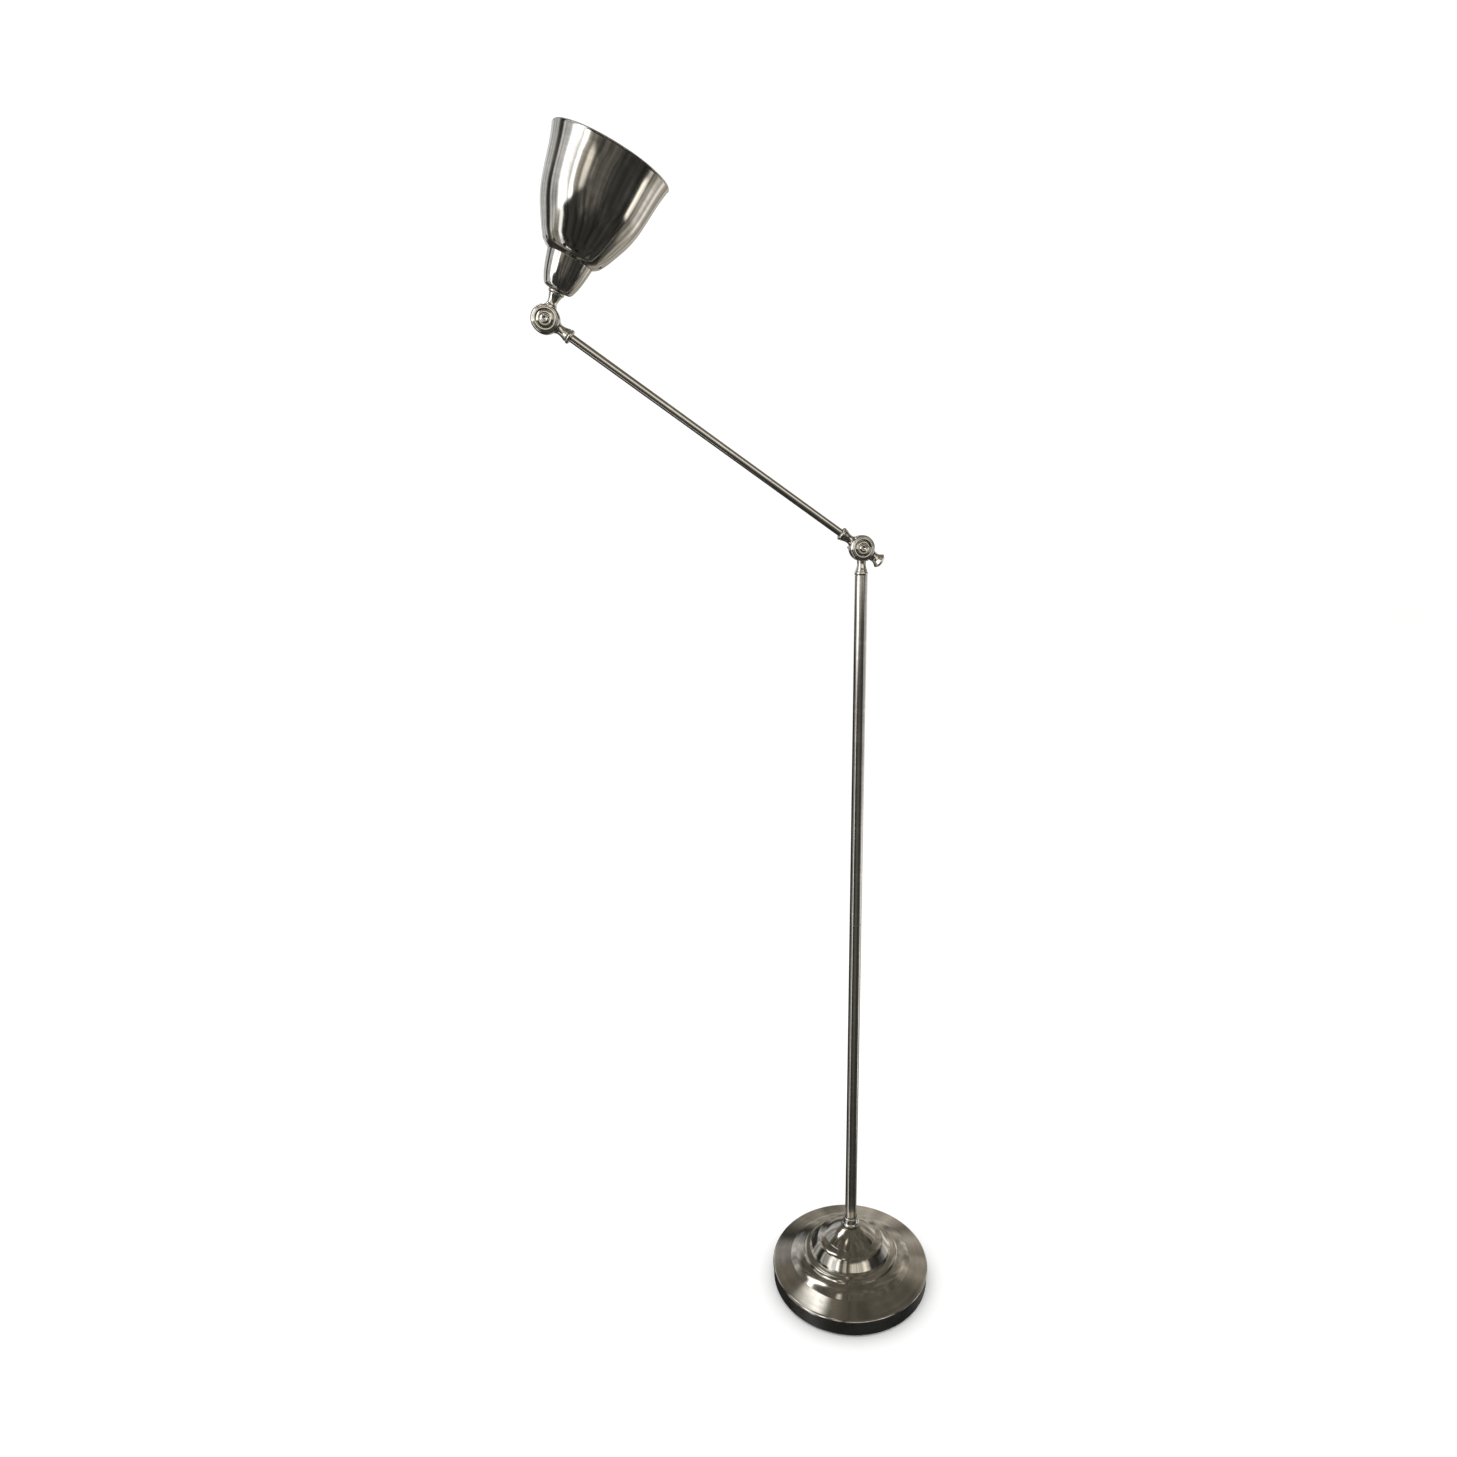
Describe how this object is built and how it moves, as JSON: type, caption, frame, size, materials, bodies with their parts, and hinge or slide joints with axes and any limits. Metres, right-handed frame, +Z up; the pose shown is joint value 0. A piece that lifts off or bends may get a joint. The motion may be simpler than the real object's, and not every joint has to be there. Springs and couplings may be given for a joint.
{
  "type": "adjustable arm floor lamp",
  "caption": "Floor lamp with a stepped weighted base, upright column, tilting arm on a locking elbow knuckle, and a bell shade on a second knuckle.",
  "frame": {"origin": "centre of the underside of the base, on the column axis, at floor level", "axes": "+Z up along the column; the arm folds in the XZ plane and points towards -X; the elbow turns about Y, and the upper hinge is 7.4 degrees round the arm from it; the dimpled caps face -Y"},
  "size_m": [0.4974, 0.2196, 1.4723],
  "materials": {
    "satin_nickel": "satin nickel plate on steel, with faint turned marks",
    "polished_nickel": "polished nickel plate on spun or drawn steel",
    "bright_nickel": "bright nickel plate on turned brass",
    "plain_steel": "zinc-plated steel hardware",
    "brass": "bare brass",
    "black_iron": "cast iron with satin black paint",
    "rubber": "matt black rubber",
    "wire_sheath": "black insulation",
    "felt": "dark felt",
    "phenolic": "dark moulded insulator",
    "opal_glass": "opal glass"
  },
  "bodies": {
    "stand": {"base_pad": "felt", "base_weight": "black_iron", "cord_inlet": "rubber", "base_cover": "satin_nickel", "tie_rod": "plain_steel", "base_lock_washer": "plain_steel", "base_nut": "plain_steel", "foot_collar": "polished_nickel", "foot_insert": "plain_steel", "lower_column": "polished_nickel", "column_coupler": "plain_steel", "upper_column": "polished_nickel", "column_wire": "wire_sheath", "elbow_column_half": "bright_nickel", "column_top_collar": "bright_nickel", "elbow_pivot_bolt": "plain_steel", "elbow_friction_washer": "phenolic", "elbow_spring_washer": "plain_steel", "elbow_nut": "plain_steel", "elbow_front_cap": "bright_nickel"},
    "arm": {"elbow_arm_half": "bright_nickel", "elbow_rear_cap": "bright_nickel", "arm_lower_collar": "bright_nickel", "arm_tube": "polished_nickel", "arm_upper_collar": "bright_nickel", "tilt_arm_half": "bright_nickel", "tilt_rear_cap": "bright_nickel", "arm_wire": "wire_sheath"},
    "lock_knob": {"lock_knob": "bright_nickel", "lock_screw": "plain_steel"},
    "head": {"tilt_head_half": "bright_nickel", "tilt_pivot_bolt": "plain_steel", "tilt_friction_washer": "phenolic", "tilt_spring_washer": "plain_steel", "tilt_nut": "plain_steel", "tilt_front_cap": "bright_nickel", "cup_ring": "bright_nickel", "head_nipple": "plain_steel", "cup_nut": "plain_steel", "socket_cup": "polished_nickel", "shade": "polished_nickel", "lampholder": "phenolic", "shade_ring": "phenolic", "screw_shell": "brass", "centre_contact": "brass", "bulb_cap": "brass", "bulb_glass": "opal_glass", "head_wire": "wire_sheath"}
  },
  "joints": [
    {"name": "elbow", "type": "hinge", "parent": "stand", "child": "arm", "pos_m": [0, 0, 1.028], "axis": [0, 1, 0], "range_deg": [-68, 4]},
    {"name": "shade_tilt", "type": "hinge", "parent": "arm", "child": "head", "pos_m": [-0.37141, 0, 1.27852], "axis": [0.072, 0.9917, 0.1068], "range_deg": [-200, 45]},
    {"name": "lock_knob_turn", "type": "hinge", "parent": "arm", "child": "lock_knob", "pos_m": [0, 0, 1.028], "axis": [0.829, 0, -0.5592], "range_deg": [0, 360]}
  ]
}
